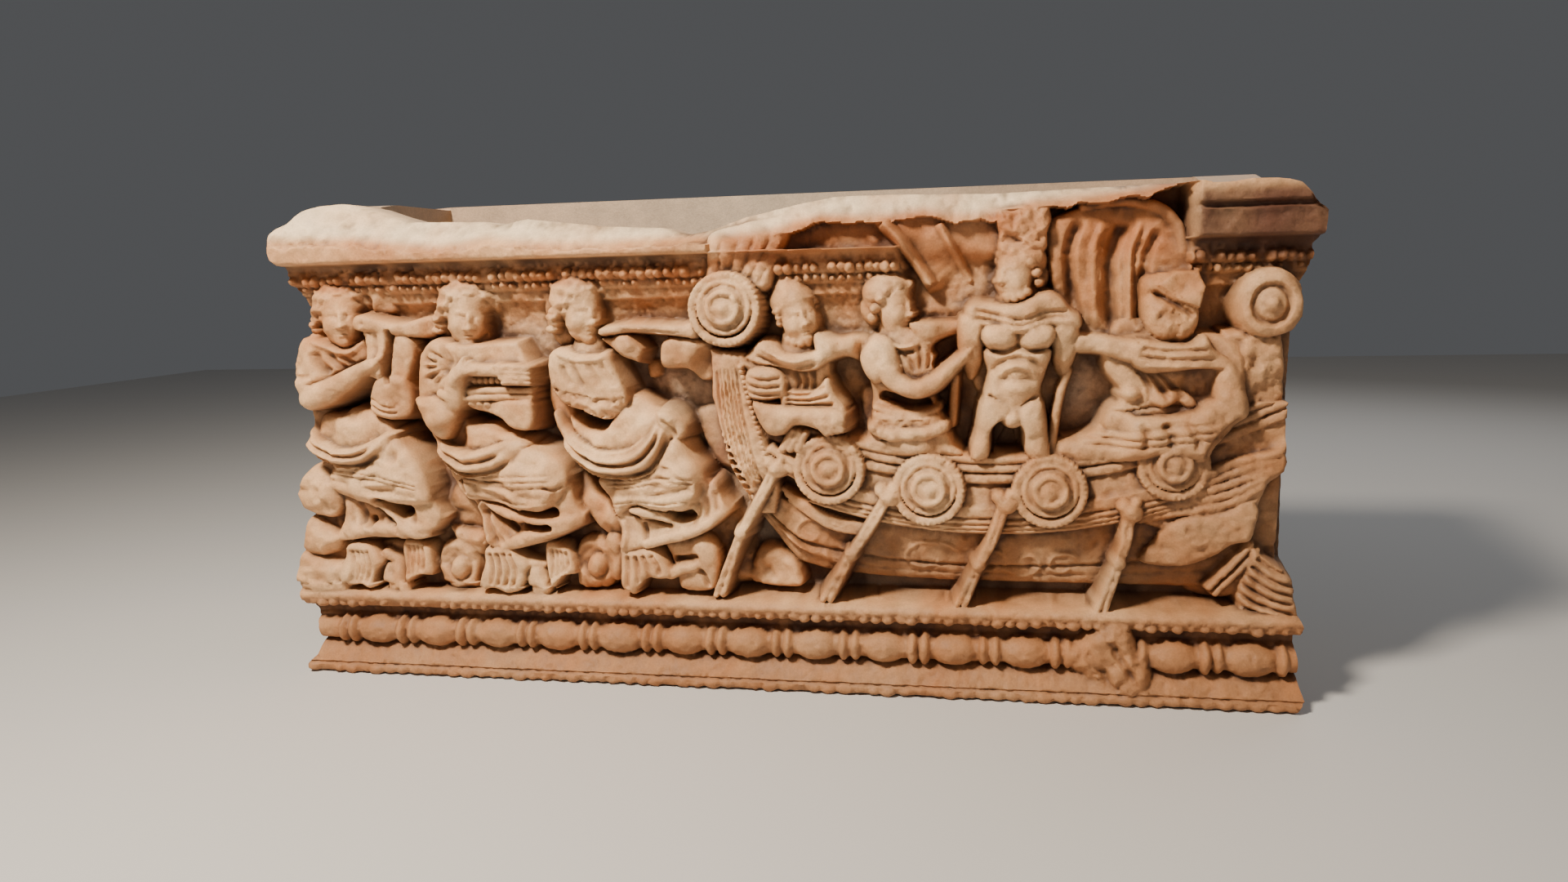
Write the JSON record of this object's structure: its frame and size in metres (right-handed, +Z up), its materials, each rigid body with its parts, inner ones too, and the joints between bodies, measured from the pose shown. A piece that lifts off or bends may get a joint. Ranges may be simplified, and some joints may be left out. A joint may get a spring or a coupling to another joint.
{
  "type": "cinerary urn",
  "caption": "Oblong stone ash chest, hollow and open on top, with a moulded base and cornice and a front carved in high relief with seated musicians and a crewed ship.",
  "frame": {"origin": "centre of the flat underside, midway between the end walls and between the back and the front of the base", "axes": "+X along the length towards the bow end of the ship, +Y from the carved front towards the plain back, +Z up"},
  "size_m": [0.8249, 0.2618, 0.408],
  "materials": {
    "alabaster": "matt weathered alabaster with brown dirt in the carving and pale breaks"
  },
  "bodies": {
    "root": {"urn_chest": "alabaster"}
  },
  "joints": []
}
